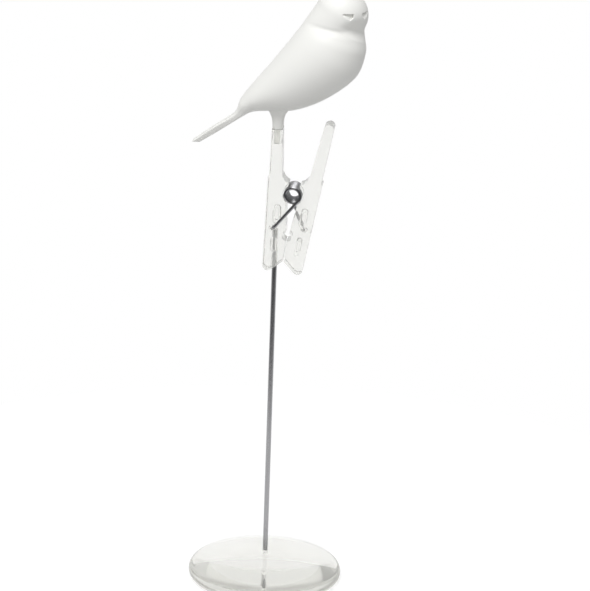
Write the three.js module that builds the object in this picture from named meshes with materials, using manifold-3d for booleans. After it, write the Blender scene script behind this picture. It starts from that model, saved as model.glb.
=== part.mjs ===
// Memo holder: a white bird on a clear spring clip, which a steel rod carries above a clear domed base.
// Millimetres, +Z up. The origin is on the base's underside, below the rod. The bird faces +X.
import * as THREE from "three";
import { mergeVertices } from "three/addons/utils/BufferGeometryUtils.js";
import Module from "manifold-3d";

const wasm = await Module();
wasm.setup();

// Clearances
const FIT = 0.3; // between a piece and its socket, all round
const PARTING = 0.1; // between the two halves of the bird
const JAW_GAP = 0.3; // between the closed jaws
const COIL_GAP = 0.42; // least, between the turns of the spring
const OVERRUN = 1; // how far a cut starts outside the face that it enters

// Base: a plano-convex disc with a full round rim
const BASE_DIAMETER = 62;
const BASE_HEIGHT = 11.2;
const RIM_RADIUS = 2.8;
const BASE_SOCKET_DEPTH = 4.7;

// Rod
const ROD_DIAMETER = 2;
const ROD_LENGTH = 141;
const ROD_CHAMFER = 0.3;

// Clip, measured from the coil's axis along the plane where the jaws meet
const CLIP_LEAN = THREE.MathUtils.degToRad(6.2); // of that plane, from the rod
const COIL_FROM_ROD = 6.7; // sideways, between the coil's axis and the rod
const COIL_ABOVE_ROD = 14.5; // the coil's axis over the rod's upper end
const LEVER_WIDTH = 8;
const JAW_REACH = 31.9;
const HANDLE_REACH = 30.2;
const SEAT_REACH = 25; // to the bird's seat on the rear lever

// Lever outline: distances out from the jaws' plane
const BACK_AT_COIL = 10.3;
const BACK_AT_JAW = 7.85;
const GRIP_STEP = 0.4; // the handle's back is set in by this much
const GRIP_STEP_REACH = 6;
const HANDLE_ROOT_REACH = 8.8;
const HANDLE_ROOT_THICKNESS = 5;
const HANDLE_TIP_THICKNESS = 4;
const NOSE_RADIUS = 2;
const MOUTH_ANGLE = THREE.MathUtils.degToRad(42);
const NOTCH_LIP_ANGLE = THREE.MathUtils.degToRad(55);
const NOTCH_LIP_HEIGHT = 1;
const SLIT_WIDTH = 1.4; // between the levers, just above the line notch
const LINE_NOTCH_REACH = 17.2;
const LINE_NOTCH_RADIUS = 1.7;

// Oblong pockets in the levers' sides
const POCKET_DEPTH = 1.2;
const UPPER_POCKET = { out: 5.3, reach: 9.2, length: 6.4, width: 2.4 };
const LOWER_POCKET = { out: 4.8, reach: 21, length: 6, width: 1.8 };

// Torsion spring
const WIRE_DIAMETER = 1.3;
const COIL_MEAN_RADIUS = 3;
const ARM_OUT = 5.85; // where an arm's end enters its lever
const ARM_REACH = 14.3;
const ARM_BEND_RADIUS = 1.3;
const ARM_SLOT_DEPTH = 2.3;
const ARM_SLOT_LENGTH = 2.4;

// Bird, in its own frame: the origin is on its seat, on the rear lever's handle
const BIRD_WALL = 2;
const TENON_THICKNESS = 2.2;
const TENON_WIDTH = 4.8;
const TENON_DEPTH = 6;
const LEG_WIDTH = 7.6;
const LEG_SQUARE = 4; // squareness of its section, 2 for an ellipse
const LEG_HEIGHT = 7.4; // from the seat to the belly
const LEG_FLARE = 2.3; // added to its front and back at the belly
const LEG_SIDE_FLARE = 0.5; // added to its sides there
const LEG_FLARE_POWER = 3;
const LEG_SUNK = 1.5; // how far the leg runs on into the belly

// Head: heights are above the belly, at the top of the leg
const HEAD_CENTRE = { x: 23.1, z: 38 };
const HEAD_RADIUS = 10.2;
const HEAD_BACK_RADIUS = 10.6;
const HEAD_CORE_RADIUS = 6; // of the hollow in the head
const HEAD_RISE = THREE.MathUtils.degToRad(66); // of the crown's direction
const HEAD_TURN = THREE.MathUtils.degToRad(46); // of the face, to the bird's right

// Chin: a flat across the front of the head, down to the crease of the neck
const CHIN_TURN = THREE.MathUtils.degToRad(50);
const CHIN_DROP = THREE.MathUtils.degToRad(33);
const CHIN_DEPTH = 1.5;
const CHIN_REACH = 4; // how far out from the head the flat runs
const CHIN_FOOT = { height: -2.4, slope: -0.55 }; // of the crease, from the head's middle

// Eyes: grooves with flat faces that fall away from the edges of an outline, which starts at the rear of the
// brow, with u towards the face and v up
const EYE_SPREAD = THREE.MathUtils.degToRad(24); // each side of the face's middle
const EYE_RISE = THREE.MathUtils.degToRad(11);
const EYE_REACH = 4;
const EYE_SUNK = 0.3;
const EYE_DEPTH = 2.1;
const EYE_OUTLINE = [
  { u: -2.2, v: 1.8, slope: 1.6 },
  { u: 2.1, v: 1.7, slope: 4 },
  { u: 1.9, v: -0.9, slope: 4 },
  { u: 0.8, v: -1.8, slope: 3 },
  { u: -2.1, v: 0.9, slope: 3 },
];

// Sections of the body from the tail's tip to the neck: a point on the back, the point across from it on
// the belly, half the width, and the section's squareness, 2 for an ellipse
const BODY_SECTIONS = [
  { back: [-33.5, -14.7], belly: [-30.3, -14.9], half: 2.5, square: 4 },
  { back: [-25.2, -8.5], belly: [-23.5, -10.4], half: 2.9, square: 4 },
  { back: [-17.2, -2.6], belly: [-14.9, -4.4], half: 3.6, square: 3 },
  { back: [-14.9, 3.1], belly: [-10.3, -1.8], half: 5.6, square: 2.2 },
  { back: [-10.8, 8.9], belly: [-3.9, -0.9], half: 8.3, square: 2 },
  { back: [-4.5, 16.8], belly: [6.7, 0], half: 11.2, square: 2 },
  { back: [1.9, 25.2], belly: [18.5, 5.1], half: 13.3, square: 2 },
  { back: [5.7, 30.5], belly: [29.4, 13.9], half: 13.9, square: 2 },
  { back: [8, 33.6], belly: [32.8, 23], half: 13, square: 2 },
  { back: [9.1, 35.3], belly: [32.5, 28.6], half: 11.5, square: 2 },
  { back: [10, 37], belly: [32.3, 32], half: 10, square: 2 },
  { back: [11.2, 38.6], belly: [32.8, 33.6], half: 10.1, square: 2 },
];
const HEAD_SECTIONS = 7;
const HEAD_FIRST_ANGLE = THREE.MathUtils.degToRad(92); // from the crown
const HEAD_LAST_ANGLE = THREE.MathUtils.degToRad(4);
const CAVITY_FIRST_SECTION = 4; // the body's hollow runs from this section
const CAVITY_LAST_SECTION = 9; // to this one, below the neck

// Facets
const ROUND_SIDES = 48;
const RIM_STEPS = 12;
const DOME_STEPS = 6;
const SMALL_SIDES = 24;
const CURVE_STEPS = 10;
const SHORTEST_EDGE = 0.01;
const WIRE_SIDES = 8;
const TURN_STEPS = 16;
const BEND_STEPS = 5;
const LOFT_SIDES = 32;
const LOFT_STEPS = 54;
const CAVITY_SIDES = 24;
const CAVITY_STEPS = 16;
const BALL_SIDES = 24;
const BALL_RINGS = 12;
const PARTING_BLOCK = 200; // the block that keeps one half of the bird

// Materials
const CLEAR_PLASTIC = { color: 0xeef0ec, roughness: 0.08, metalness: 0, transparent: true, opacity: 0.35 };
const WHITE_PLASTIC = { color: 0xf2f2ee, roughness: 0.42, metalness: 0 };
const SPRING_STEEL = { color: 0x6a6a6c, roughness: 0.25, metalness: 1 };
const ROD_STEEL = { color: 0x9a9a9b, roughness: 0.3, metalness: 1 };

// A closed geometry as a solid that can be joined and cut
function solid(geometry) {
  const bare = geometry.clone();
  bare.deleteAttribute("normal");
  bare.deleteAttribute("uv");
  const merged = mergeVertices(bare);
  return new wasm.Manifold(
    new wasm.Mesh({
      numProp: 3,
      vertProperties: new Float32Array(merged.attributes.position.array),
      triVerts: new Uint32Array(merged.index.array),
    }),
  );
}

function geometryOf(made) {
  const mesh = made.getMesh();
  const geometry = new THREE.BufferGeometry();
  geometry.setAttribute("position", new THREE.BufferAttribute(mesh.vertProperties, 3));
  geometry.setIndex(new THREE.BufferAttribute(mesh.triVerts, 1));
  geometry.computeVertexNormals();
  return geometry;
}

function piece(name, geometry, material) {
  const mesh = new THREE.Mesh(geometry, new THREE.MeshStandardMaterial(material));
  mesh.name = name;
  return mesh;
}

// A profile of [radius, height] pairs turned about the Z axis
function revolve(profile, sides) {
  const points = profile.map(([r, z]) => new THREE.Vector2(r, z));
  return new THREE.LatheGeometry(points, sides).rotateX(Math.PI / 2);
}

// An outline in X and Z, extruded along Y between two places
function extrudeAcross(shape, one, other) {
  const geometry = new THREE.ExtrudeGeometry(shape, {
    depth: Math.abs(other - one),
    bevelEnabled: false,
    curveSegments: CURVE_STEPS,
  });
  return geometry.rotateX(Math.PI / 2).translate(0, Math.max(one, other), 0);
}

// A skin over rings of points, each turning right-handed about the way ahead, with its two ends closed
function loft(rings) {
  const sides = rings[0].length;
  const last = rings.length - 1;
  const points = rings.flat();
  const triangles = [];
  for (let i = 0; i < last; i++) {
    for (let j = 0; j < sides; j++) {
      const a = i * sides + j;
      const b = i * sides + ((j + 1) % sides);
      triangles.push(a, b, b + sides, a, b + sides, a + sides);
    }
  }
  const middle = (ring) => ring.reduce((sum, p) => sum.add(p), new THREE.Vector3()).divideScalar(sides);
  const first = points.push(middle(rings[0])) - 1;
  const final = points.push(middle(rings[last])) - 1;
  for (let j = 0; j < sides; j++) {
    const next = (j + 1) % sides;
    triangles.push(first, next, j, final, last * sides + j, last * sides + next);
  }
  return new THREE.BufferGeometry().setFromPoints(points).setIndex(triangles);
}

// A round bar along a path of points, with its frame carried along without twist
function tube(path, radius, sides) {
  let side = new THREE.Vector3(1, 0, 0);
  const rings = path.map((point, i) => {
    const ahead = path[Math.min(i + 1, path.length - 1)];
    const behind = path[Math.max(i - 1, 0)];
    const along = ahead.clone().sub(behind).normalize();
    side = side.clone().addScaledVector(along, -side.dot(along)).normalize();
    const across = along.clone().cross(side);
    return Array.from({ length: sides }, (_, j) => {
      const turn = (2 * Math.PI * j) / sides;
      const radial = side.clone().multiplyScalar(Math.cos(turn)).addScaledVector(across, Math.sin(turn));
      return point.clone().addScaledVector(radial, radius);
    });
  });
  return loft(rings);
}

// Places that the pieces share
const rodFoot = BASE_HEIGHT - BASE_SOCKET_DEPTH + FIT;
const rodTop = rodFoot + ROD_LENGTH;
const rodBore = ROD_DIAMETER / 2 + FIT;
const coilHeight = rodTop + COIL_ABOVE_ROD;
const notchRadius = COIL_MEAN_RADIUS + WIRE_DIAMETER / 2 + FIT;
const armSide = LEVER_WIDTH / 2 + FIT + WIRE_DIAMETER / 2;

// The clip's frame: Z along the jaws' plane, Y along the coil, X towards the front lever
const clip = new THREE.Group();
clip.position.set(COIL_FROM_ROD, 0, coilHeight);
clip.rotation.y = CLIP_LEAN;
clip.updateMatrix();
const intoClip = clip.matrix.clone().invert();

// The lever's back at a height in the clip's frame, and the two faces of its handle
const backSlope = (BACK_AT_COIL - BACK_AT_JAW) / JAW_REACH;
const leverBack = (v) => BACK_AT_COIL + backSlope * v;
const handleBack = (v) => leverBack(v) - GRIP_STEP;
const tipCentre = HANDLE_REACH - HANDLE_TIP_THICKNESS / 2;
const handleThickness = (v) =>
  THREE.MathUtils.mapLinear(v, HANDLE_ROOT_REACH, tipCentre, HANDLE_ROOT_THICKNESS, HANDLE_TIP_THICKNESS);
const handleFront = (v) => handleBack(v) - handleThickness(v);

// The bird's seat: the middle of the rear lever's handle
const seatThickness = handleThickness(SEAT_REACH);
const seat = new THREE.Vector3(seatThickness / 2 - handleBack(SEAT_REACH), 0, SEAT_REACH);
seat.applyMatrix4(clip.matrix);

// The base, with a blind socket for the rod
function baseDisc() {
  const rimCentre = BASE_DIAMETER / 2 - RIM_RADIUS;
  const rise = BASE_HEIGHT - RIM_RADIUS;
  const domeRadius = (rise ** 2 + rimCentre ** 2 - RIM_RADIUS ** 2) / (2 * (rise - RIM_RADIUS));
  const domeCentre = BASE_HEIGHT - domeRadius;
  const domeEdge = Math.asin(rimCentre / (domeRadius - RIM_RADIUS)); // where dome and rim run into each other
  const domeSocket = Math.asin(rodBore / domeRadius);
  const profile = [[0, 0]];
  for (let i = 0; i <= RIM_STEPS; i++) {
    const turn = THREE.MathUtils.mapLinear(i, 0, RIM_STEPS, -Math.PI / 2, Math.PI / 2 - domeEdge);
    profile.push([rimCentre + RIM_RADIUS * Math.cos(turn), RIM_RADIUS + RIM_RADIUS * Math.sin(turn)]);
  }
  for (let i = 1; i <= DOME_STEPS; i++) {
    const turn = THREE.MathUtils.mapLinear(i, 0, DOME_STEPS, domeEdge, domeSocket);
    profile.push([domeRadius * Math.sin(turn), domeCentre + domeRadius * Math.cos(turn)]);
  }
  const floor = BASE_HEIGHT - BASE_SOCKET_DEPTH;
  profile.push([rodBore, floor], [0, floor]);
  return revolve(profile, ROUND_SIDES);
}

// The rod, chamfered at both ends
function stemRod() {
  const r = ROD_DIAMETER / 2;
  const profile = [
    [0, rodFoot],
    [r - ROD_CHAMFER, rodFoot],
    [r, rodFoot + ROD_CHAMFER],
    [r, rodTop - ROD_CHAMFER],
    [r - ROD_CHAMFER, rodTop],
    [0, rodTop],
  ];
  return revolve(profile, SMALL_SIDES);
}

// The side outline of a lever: jaw, nose, back, handle, coil notch, slit and line notch
function leverOutline() {
  const outline = new THREE.Shape();
  const jaw = JAW_GAP / 2;
  const noseV = NOSE_RADIUS - JAW_REACH;
  const noseU = leverBack(noseV) - NOSE_RADIUS;
  const noseStart = -Math.PI / 2 - MOUTH_ANGLE;
  const mouthU = noseU + NOSE_RADIUS * Math.cos(noseStart);
  const mouthV = noseV + NOSE_RADIUS * Math.sin(noseStart);
  outline.moveTo(jaw, mouthV + (mouthU - jaw) * Math.tan(MOUTH_ANGLE));
  outline.lineTo(mouthU, mouthV);
  outline.absarc(noseU, noseV, NOSE_RADIUS, noseStart, 0, false);
  outline.lineTo(leverBack(GRIP_STEP_REACH - GRIP_STEP), GRIP_STEP_REACH - GRIP_STEP);
  outline.lineTo(handleBack(GRIP_STEP_REACH), GRIP_STEP_REACH);
  const tipRadius = HANDLE_TIP_THICKNESS / 2;
  outline.absarc(handleBack(tipCentre) - tipRadius, tipCentre, tipRadius, 0, Math.PI, false);
  const rootU = handleFront(HANDLE_ROOT_REACH);
  const lipU = notchRadius * Math.cos(NOTCH_LIP_ANGLE);
  const lipV = notchRadius * Math.sin(NOTCH_LIP_ANGLE);
  outline.lineTo(rootU, HANDLE_ROOT_REACH);
  outline.quadraticCurveTo(rootU, (lipV + HANDLE_ROOT_REACH) / 2, lipU, lipV + NOTCH_LIP_HEIGHT);
  outline.lineTo(lipU, lipV);
  outline.absarc(0, 0, notchRadius, NOTCH_LIP_ANGLE, -NOTCH_LIP_ANGLE, true);
  const slitTurn = Math.acos(SLIT_WIDTH / 2 / LINE_NOTCH_RADIUS);
  const gripTurn = -Math.acos(jaw / LINE_NOTCH_RADIUS);
  outline.absarc(0, -LINE_NOTCH_REACH, LINE_NOTCH_RADIUS, slitTurn, gripTurn, true);
  const points = outline.getPoints(CURVE_STEPS);
  return points.filter((p, i) => p.distanceTo(points.at(i - 1)) > SHORTEST_EDGE);
}

// A lever's body. side is 1 for the front lever and -1 for the rear one
function leverBody(side) {
  const points = leverOutline().map((p) => new THREE.Vector2(side * p.x, p.y));
  return solid(extrudeAcross(new THREE.Shape(points), -LEVER_WIDTH / 2, LEVER_WIDTH / 2));
}

// An oblong with round ends, its long way along X
function oblong(length, width) {
  const shape = new THREE.Shape();
  const half = (length - width) / 2;
  shape.absarc(half, 0, width / 2, -Math.PI / 2, Math.PI / 2, false);
  shape.absarc(-half, 0, width / 2, Math.PI / 2, (3 * Math.PI) / 2, false);
  return shape;
}

// Pockets in both sides of a lever, in line with its back
function cutPockets(lever, side) {
  const lean = side * Math.atan(backSlope) - Math.PI / 2;
  let cut = lever;
  for (const pocket of [UPPER_POCKET, LOWER_POCKET]) {
    for (const facing of [-1, 1]) {
      const floor = facing * (LEVER_WIDTH / 2 - POCKET_DEPTH);
      const outside = facing * (LEVER_WIDTH / 2 + OVERRUN);
      const tool = extrudeAcross(oblong(pocket.length, pocket.width), floor, outside);
      tool.rotateY(lean).translate(side * pocket.out, 0, -pocket.reach);
      cut = cut.subtract(solid(tool));
    }
  }
  return cut;
}

// The slot that takes the end of a spring arm, in the rear lever's near side and the front lever's far side
function cutArmSlot(lever, side) {
  const floor = side * (LEVER_WIDTH / 2 - ARM_SLOT_DEPTH);
  const outside = side * (LEVER_WIDTH / 2 + OVERRUN);
  const width = WIRE_DIAMETER + 2 * FIT;
  const tool = extrudeAcross(oblong(ARM_SLOT_LENGTH, width), floor, outside);
  const middle = ARM_OUT + (ARM_SLOT_LENGTH - width) / 2;
  return lever.subtract(solid(tool.translate(side * middle, 0, -ARM_REACH)));
}

// The rear lever also takes the rod from below and the bird's tenon from above, where it is cut level
function rearLever() {
  const boreFoot = coilHeight - JAW_REACH - OVERRUN;
  const boreTop = rodTop + FIT;
  const bore = revolve(
    [
      [0, boreFoot],
      [rodBore, boreFoot],
      [rodBore, boreTop],
      [0, boreTop],
    ],
    SMALL_SIDES,
  );
  const crop = new THREE.BoxGeometry(2 * BACK_AT_COIL, 2 * LEVER_WIDTH, HANDLE_REACH);
  crop.translate(seat.x, 0, seat.z + HANDLE_REACH / 2);
  const tenon = [TENON_THICKNESS, TENON_WIDTH, 2 * TENON_DEPTH];
  const mortise = new THREE.BoxGeometry(...tenon.map((size) => size + 2 * FIT));
  mortise.translate(seat.x, 0, seat.z);
  let lever = cutArmSlot(cutPockets(leverBody(-1), -1), -1);
  for (const tool of [bore, crop, mortise]) {
    lever = lever.subtract(solid(tool.applyMatrix4(intoClip)));
  }
  return geometryOf(lever);
}

function frontLever() {
  return geometryOf(cutArmSlot(cutPockets(leverBody(1), 1), 1));
}

// One arm of the spring, from its end in the lever to half way to the coil, which it meets at a turn
function springArm(side, turn) {
  const endDepth = LEVER_WIDTH / 2 - ARM_SLOT_DEPTH + FIT;
  const corner = new THREE.Vector3(side * ARM_OUT, side * armSide, -ARM_REACH);
  const end = new THREE.Vector3(side * ARM_OUT, side * endDepth, -ARM_REACH);
  const coil = coilPoint(turn, side * armSide);
  const inward = new THREE.Vector3(0, -side, 0);
  const along = coil.clone().sub(corner).normalize();
  const centre = corner.clone().addScaledVector(inward.clone().add(along), ARM_BEND_RADIUS);
  const points = [end];
  for (let i = 0; i <= BEND_STEPS; i++) {
    const bend = (Math.PI / 2) * (i / BEND_STEPS);
    const point = centre.clone().addScaledVector(along, -ARM_BEND_RADIUS * Math.cos(bend));
    points.push(point.addScaledVector(inward, -ARM_BEND_RADIUS * Math.sin(bend)));
  }
  points.push(points.at(-1).clone().lerp(coil, 1 / 2));
  return points;
}

function coilPoint(turn, across) {
  return new THREE.Vector3(Math.cos(turn) * COIL_MEAN_RADIUS, across, Math.sin(turn) * COIL_MEAN_RADIUS);
}

// The spring's centre line: up the far arm, round the coil towards the viewer, and down the near arm.
// The coil has as many whole turns as leave the gap between them
function springPath() {
  const out = Math.hypot(ARM_OUT, ARM_REACH);
  const entry = Math.atan2(-ARM_REACH, -ARM_OUT);
  const leave = entry + Math.acos(COIL_MEAN_RADIUS / out); // where the near arm leaves the coil
  const join = Math.PI - leave; // where the far arm meets it
  const partTurn = (join - leave) / (2 * Math.PI);
  const wholeTurns = Math.floor((2 * armSide) / (WIRE_DIAMETER + COIL_GAP) - partTurn);
  const turned = 2 * Math.PI * (wholeTurns + partTurn);
  const steps = Math.round((wholeTurns + partTurn) * TURN_STEPS);
  const coil = Array.from({ length: steps + 1 }, (_, i) =>
    coilPoint(join - (turned * i) / steps, armSide - (2 * armSide * i) / steps),
  );
  return [...springArm(1, join), ...coil, ...springArm(-1, leave).reverse()];
}

// The least clear distance between stretches of the wire that lie more than half a turn apart along it
function leastGap(path) {
  const travelled = [0];
  for (let i = 1; i < path.length; i++) {
    travelled.push(travelled[i - 1] + path[i].distanceTo(path[i - 1]));
  }
  let least = Infinity;
  for (let i = 0; i < path.length; i++) {
    for (let j = i + 1; j < path.length; j++) {
      if (travelled[j] - travelled[i] > Math.PI * COIL_MEAN_RADIUS) {
        least = Math.min(least, path[i].distanceTo(path[j]) - WIRE_DIAMETER);
      }
    }
  }
  return least;
}

// Every section of the bird, from the tail's tip to the crown: those of the head follow its round
function birdSections() {
  const up = new THREE.Vector2(Math.cos(HEAD_RISE), Math.sin(HEAD_RISE));
  const front = new THREE.Vector2(up.y, -up.x);
  const head = Array.from({ length: HEAD_SECTIONS }, (_, i) => {
    const turn = THREE.MathUtils.mapLinear(i, 0, HEAD_SECTIONS - 1, HEAD_FIRST_ANGLE, HEAD_LAST_ANGLE);
    const rise = HEAD_RADIUS * Math.cos(turn);
    const spot = (reach) => [
      HEAD_CENTRE.x + up.x * rise + front.x * reach * Math.sin(turn),
      HEAD_CENTRE.z + up.y * rise + front.y * reach * Math.sin(turn),
    ];
    const half = HEAD_RADIUS * Math.sin(turn);
    return { back: spot(-HEAD_BACK_RADIUS), belly: spot(HEAD_RADIUS), half, square: 2 };
  });
  return [...BODY_SECTIONS, ...head];
}

function signedPower(value, power) {
  return Math.sign(value) * Math.abs(value) ** power;
}

// A smooth run through one point of each section, with a third number carried along
function sectionCurve(points) {
  return new THREE.CatmullRomCurve3(points.map((p) => new THREE.Vector3(...p)), false, "catmullrom");
}

// The loft through the sections, drawn in by a wall thickness and limited to a stretch of it
function birdLoft(wall, from, to, steps, sides) {
  const sections = birdSections();
  const backs = sectionCurve(sections.map((s) => [...s.back, s.half]));
  const bellies = sectionCurve(sections.map((s) => [...s.belly, s.square]));
  const rings = Array.from({ length: steps + 1 }, (_, i) => {
    const t = THREE.MathUtils.mapLinear(i, 0, steps, from, to) / (sections.length - 1);
    const back = backs.getPoint(t);
    const belly = bellies.getPoint(t);
    const half = back.z - wall;
    const power = 2 / belly.z;
    const middle = back.clone().add(belly).divideScalar(2);
    const reach = new THREE.Vector2(back.x - belly.x, back.y - belly.y).divideScalar(2);
    reach.setLength(reach.length() - wall);
    return Array.from({ length: sides }, (_, j) => {
      const turn = (2 * Math.PI * j) / sides;
      const lift = signedPower(Math.cos(turn), power);
      const across = signedPower(Math.sin(turn), power);
      const height = LEG_HEIGHT + middle.y + reach.y * lift;
      return new THREE.Vector3(middle.x + reach.x * lift, -half * across, height);
    });
  });
  return solid(loft(rings));
}

// The single leg: a squared column on the seat that flares into the belly
function birdLeg() {
  const power = 2 / LEG_SQUARE;
  const rings = Array.from({ length: CURVE_STEPS + 1 }, (_, i) => {
    const z = ((LEG_HEIGHT + LEG_SUNK) * i) / CURVE_STEPS;
    const swell = (z / LEG_HEIGHT) ** LEG_FLARE_POWER;
    const halfX = seatThickness / 2 + LEG_FLARE * swell;
    const halfY = LEG_WIDTH / 2 + LEG_SIDE_FLARE * swell;
    return Array.from({ length: SMALL_SIDES }, (_, j) => {
      const turn = (2 * Math.PI * j) / SMALL_SIDES;
      const along = halfX * signedPower(Math.cos(turn), power);
      return new THREE.Vector3(along, halfY * signedPower(Math.sin(turn), power), z);
    });
  });
  return solid(loft(rings));
}

const headMiddle = new THREE.Vector3(HEAD_CENTRE.x, 0, LEG_HEIGHT + HEAD_CENTRE.z);

// A direction from the head's middle, by the turn from the way the body faces and the rise from level
function headWay(turn, rise) {
  const level = Math.cos(rise);
  return new THREE.Vector3(level * Math.cos(turn), level * Math.sin(turn), Math.sin(rise));
}

function headBall(radius) {
  return solid(new THREE.SphereGeometry(radius, BALL_SIDES, BALL_RINGS));
}

// The tool for the flat of the chin
function chinTool() {
  const foot = new THREE.Vector3(-CHIN_FOOT.slope, 0, 1);
  const past = headBall(HEAD_RADIUS + CHIN_REACH)
    .trimByPlane(headWay(-CHIN_TURN, -CHIN_DROP).toArray(), HEAD_RADIUS - CHIN_DEPTH)
    .trimByPlane(foot.toArray(), CHIN_FOOT.height / foot.length());
  return past.translate(headMiddle.toArray());
}

// The tool for an eye, in a frame on the head with X level, Y up and Z outwards, then laid against the head
function eyeTool(side) {
  const way = headWay(-HEAD_TURN + side * EYE_SPREAD, EYE_RISE);
  const level = new THREE.Vector3(0, 0, 1).cross(way).normalize();
  const upright = way.clone().cross(level);
  const spot = headMiddle.clone().addScaledVector(way, HEAD_RADIUS - EYE_SUNK);
  const block = new THREE.BoxGeometry(2 * EYE_REACH, 2 * EYE_REACH, EYE_DEPTH + OVERRUN);
  let tool = solid(block.translate(0, 0, (OVERRUN - EYE_DEPTH) / 2));
  EYE_OUTLINE.forEach(({ u, v, slope }, i) => {
    const next = EYE_OUTLINE[(i + 1) % EYE_OUTLINE.length];
    const edge = new THREE.Vector2(next.u - u, next.v - v).normalize();
    const face = new THREE.Vector3(-side * edge.y * slope, -edge.x * slope, 1).normalize();
    const corner = new THREE.Vector3(-side * u, v, 0);
    tool = tool.trimByPlane(face.toArray(), face.dot(corner));
  });
  const laid = new THREE.Matrix4().makeBasis(level, upright, way).setPosition(spot);
  return tool.transform(laid.elements);
}

// The bird as two hollow halves that part along its middle plane, each with half of the tenon
function birdHalves() {
  const lastSection = BODY_SECTIONS.length + HEAD_SECTIONS - 1;
  const tenon = new THREE.BoxGeometry(TENON_THICKNESS, TENON_WIDTH, 2 * TENON_DEPTH);
  const skin = birdLoft(0, 0, lastSection, LOFT_STEPS, LOFT_SIDES);
  const hollow = birdLoft(BIRD_WALL, CAVITY_FIRST_SECTION, CAVITY_LAST_SECTION, CAVITY_STEPS, CAVITY_SIDES);
  const core = headBall(HEAD_CORE_RADIUS).translate(headMiddle.toArray());
  let bird = skin.add(birdLeg()).add(solid(tenon));
  for (const tool of [hollow, core, chinTool(), eyeTool(-1), eyeTool(1)]) {
    bird = bird.subtract(tool);
  }
  return [-1, 1].map((side) => {
    const keep = new THREE.BoxGeometry(PARTING_BLOCK, PARTING_BLOCK, PARTING_BLOCK);
    keep.translate(0, (side * (PARTING_BLOCK + PARTING)) / 2, 0);
    return geometryOf(bird.intersect(solid(keep)));
  });
}

const path = springPath();
console.log("torsion spring: least gap to itself " + leastGap(path).toFixed(2) + " mm");

clip.add(piece("rear_lever", rearLever(), CLEAR_PLASTIC));
clip.add(piece("front_lever", frontLever(), CLEAR_PLASTIC));
clip.add(piece("torsion_spring", tube(path, WIRE_DIAMETER / 2, WIRE_SIDES), SPRING_STEEL));

const bird = new THREE.Group();
bird.position.copy(seat);
bird.position.z += FIT;
const [rightHalf, leftHalf] = birdHalves();
bird.add(piece("bird_right_half", rightHalf, WHITE_PLASTIC));
bird.add(piece("bird_left_half", leftHalf, WHITE_PLASTIC));

const holder = new THREE.Group();
holder.add(piece("base_disc", baseDisc(), CLEAR_PLASTIC));
holder.add(piece("stem_rod", stemRod(), ROD_STEEL));
holder.add(clip);
holder.add(bird);
export default holder;
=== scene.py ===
# Memo holder: a white bird on a clear spring clip, which a steel rod carries above a clear domed base.
# Sizes are in millimetres, as in the solids, and turn into metres where a mesh is made.
import math

import bmesh
import bpy
import numpy as np
from mathutils import Matrix, Vector
from mathutils.bvhtree import BVHTree
from mathutils.interpolate import poly_3d_calc


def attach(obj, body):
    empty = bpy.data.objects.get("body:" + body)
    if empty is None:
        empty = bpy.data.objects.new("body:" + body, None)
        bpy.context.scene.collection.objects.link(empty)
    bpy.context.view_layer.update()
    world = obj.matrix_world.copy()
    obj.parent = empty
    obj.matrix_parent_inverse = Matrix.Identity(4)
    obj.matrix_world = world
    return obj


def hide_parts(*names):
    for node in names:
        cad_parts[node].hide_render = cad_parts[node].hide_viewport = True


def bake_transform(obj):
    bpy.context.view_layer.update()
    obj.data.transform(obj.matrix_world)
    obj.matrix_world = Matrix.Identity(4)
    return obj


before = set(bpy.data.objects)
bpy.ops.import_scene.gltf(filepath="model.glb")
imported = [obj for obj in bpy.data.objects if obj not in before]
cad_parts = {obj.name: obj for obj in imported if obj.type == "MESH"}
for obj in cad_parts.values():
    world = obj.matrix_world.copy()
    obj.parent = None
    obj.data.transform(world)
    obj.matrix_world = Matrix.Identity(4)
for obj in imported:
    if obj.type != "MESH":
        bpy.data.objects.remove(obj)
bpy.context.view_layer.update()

MM = 0.001

# Fits as they show: closer than in the solids, which keep 0.3 mm everywhere
SOCKET_FIT = 0.06
BORE_FIT = 0.15
MORTISE_FIT = 0.12
SEAT_GAP = 0.04
PARTING = 0.02
SOLID_FIT = 0.3

# Base
BASE_DIAMETER = 61.99
BASE_HEIGHT = 11.2
RIM_RADIUS = 2.8
BASE_SOCKET_DEPTH = 4.7
UNDERSIDE_RING = 0.5

# Rod
ROD_DIAMETER = 2
ROD_LENGTH = 141
ROD_CHAMFER = 0.3

# Clip
CLIP_LEAN = math.radians(6.2)
COIL_FROM_ROD = 6.7
COIL_ABOVE_ROD = 14.5
LEVER_WIDTH = 8
LEVER_EDGE = 0.4
JAW_GAP = 0.3
JAW_REACH = 31.9
HANDLE_REACH = 30.2
SEAT_REACH = 25
BACK_AT_COIL = 10.3
BACK_AT_JAW = 7.85
GRIP_STEP = 0.4
GRIP_STEP_REACH = 6
HANDLE_ROOT_REACH = 8.8
HANDLE_ROOT_THICKNESS = 5
HANDLE_TIP_THICKNESS = 4
NOSE_RADIUS = 2
MOUTH_ANGLE = math.radians(42)
NOTCH_LIP_ANGLE = math.radians(55)
NOTCH_LIP_HEIGHT = 1
SLIT_WIDTH = 1.4
LINE_NOTCH_REACH = 17.2
LINE_NOTCH_RADIUS = 1.7
POCKET_DEPTH = 1.2
UPPER_POCKET = {"out": 5.3, "reach": 9.2, "length": 6.4, "width": 2.4}
LOWER_POCKET = {"out": 4.8, "reach": 21, "length": 6, "width": 1.8}
RECESS_MOUTH = 0.25
RECESS_ROUND = 0.6
RECESS_ROUND_SHARE = 1 / 3

# How far a cutting tool stands out of the lever
RECESS_OVER = 0.6
BORE_OVER = 2
MORTISE_OVER = 1

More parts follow.
